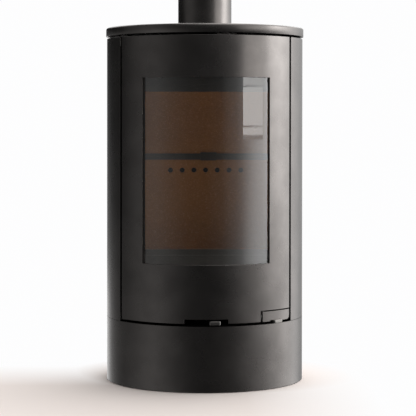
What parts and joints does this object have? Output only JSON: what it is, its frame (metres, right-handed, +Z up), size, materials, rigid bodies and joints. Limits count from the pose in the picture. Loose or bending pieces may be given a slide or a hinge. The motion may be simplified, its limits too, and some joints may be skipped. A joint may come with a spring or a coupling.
{
  "type": "wood burning stove",
  "caption": "Cylindrical free-standing wood burning stove with a curved glass door, a lined fire box, an air lever and a top flue pipe.",
  "frame": {"origin": "on the floor, at the axis of the stove's cylinder", "axes": "+Z up, the door faces -Y, +X to the viewer's right"},
  "size_m": [0.5549, 0.5625, 1.2],
  "materials": {
    "stove_paint": "satin heat-proof paint",
    "inner_steel": "matt black paint",
    "frame_steel": "matt heat-proof paint",
    "fire_board": "matt vermiculite board",
    "cast_iron": "as cast",
    "galvanised": "zinc coated",
    "brushed_steel": "brushed",
    "zinc_steel": "satin",
    "ceramic_glass": "clear",
    "rope_seal": "braided glass rope"
  },
  "bodies": {
    "casing": {"floor_plate": "inner_steel", "plinth_ring": "stove_paint", "deck_plate": "inner_steel", "left_side_panel": "stove_paint", "right_side_panel": "stove_paint", "rear_panel": "stove_paint", "rear_panel_screws": "zinc_steel", "shell_brackets": "inner_steel", "top_plate": "stove_paint", "top_plate_spacers": "inner_steel", "firebox_legs": "inner_steel", "firebox_base": "inner_steel", "firebox_floor": "inner_steel", "firebox_left_wall": "inner_steel", "firebox_right_wall": "inner_steel", "firebox_back_wall": "inner_steel", "firebox_top": "inner_steel", "front_frame": "frame_steel", "rear_air_duct": "inner_steel", "air_transfer_channel": "inner_steel", "left_lining": "fire_board", "right_lining": "fire_board", "back_lining_lower": "fire_board", "back_lining_upper": "fire_board", "lining_rail": "frame_steel", "hearth_lining": "fire_board", "grate": "cast_iron", "baffle_lower": "fire_board", "baffle_upper": "frame_steel", "baffle_supports": "inner_steel", "ash_pan": "inner_steel", "ash_pan_runners": "inner_steel", "air_valve_housing": "inner_steel", "air_inlet_duct": "galvanised", "air_inlet_elbow": "galvanised", "lever_pivot_pin": "zinc_steel", "flue_collar": "cast_iron", "collar_bolts": "zinc_steel", "flue_pipe": "stove_paint", "hinge_brackets": "inner_steel", "hinge_pins": "zinc_steel", "hinge_washers": "zinc_steel", "keeper_bracket": "inner_steel", "keeper_pin": "zinc_steel"},
    "door": {"door_skin": "stove_paint", "door_inner_frame": "frame_steel", "door_glass": "ceramic_glass", "glass_gasket": "rope_seal", "glass_clips": "zinc_steel", "glass_clip_screws": "zinc_steel", "door_seal": "rope_seal", "door_hinge_plates": "inner_steel", "handle_bracket": "inner_steel", "handle_pivot_pin": "zinc_steel"},
    "handle": {"handle_flap": "stove_paint", "handle_tongue": "brushed_steel", "latch_hook": "zinc_steel"},
    "air_control": {"air_lever": "zinc_steel", "air_lever_tongue": "brushed_steel", "air_valve_disc": "zinc_steel"}
  },
  "joints": [
    {"name": "door_swing", "type": "hinge", "parent": "casing", "child": "door", "pos_m": [-0.21561, -0.15493, 0.5], "axis": [0, 0, -1], "range_deg": [0, 110]},
    {"name": "handle_pull", "type": "hinge", "parent": "door", "child": "handle", "pos_m": [0.1484, -0.21592, 0.2], "axis": [0, 0, -1], "range_deg": [0, 30]},
    {"name": "air_lever_swing", "type": "hinge", "parent": "casing", "child": "air_control", "pos_m": [0, 0, 0.19], "axis": [0, 0, 1], "range_deg": [-12.7, 3.3]}
  ]
}
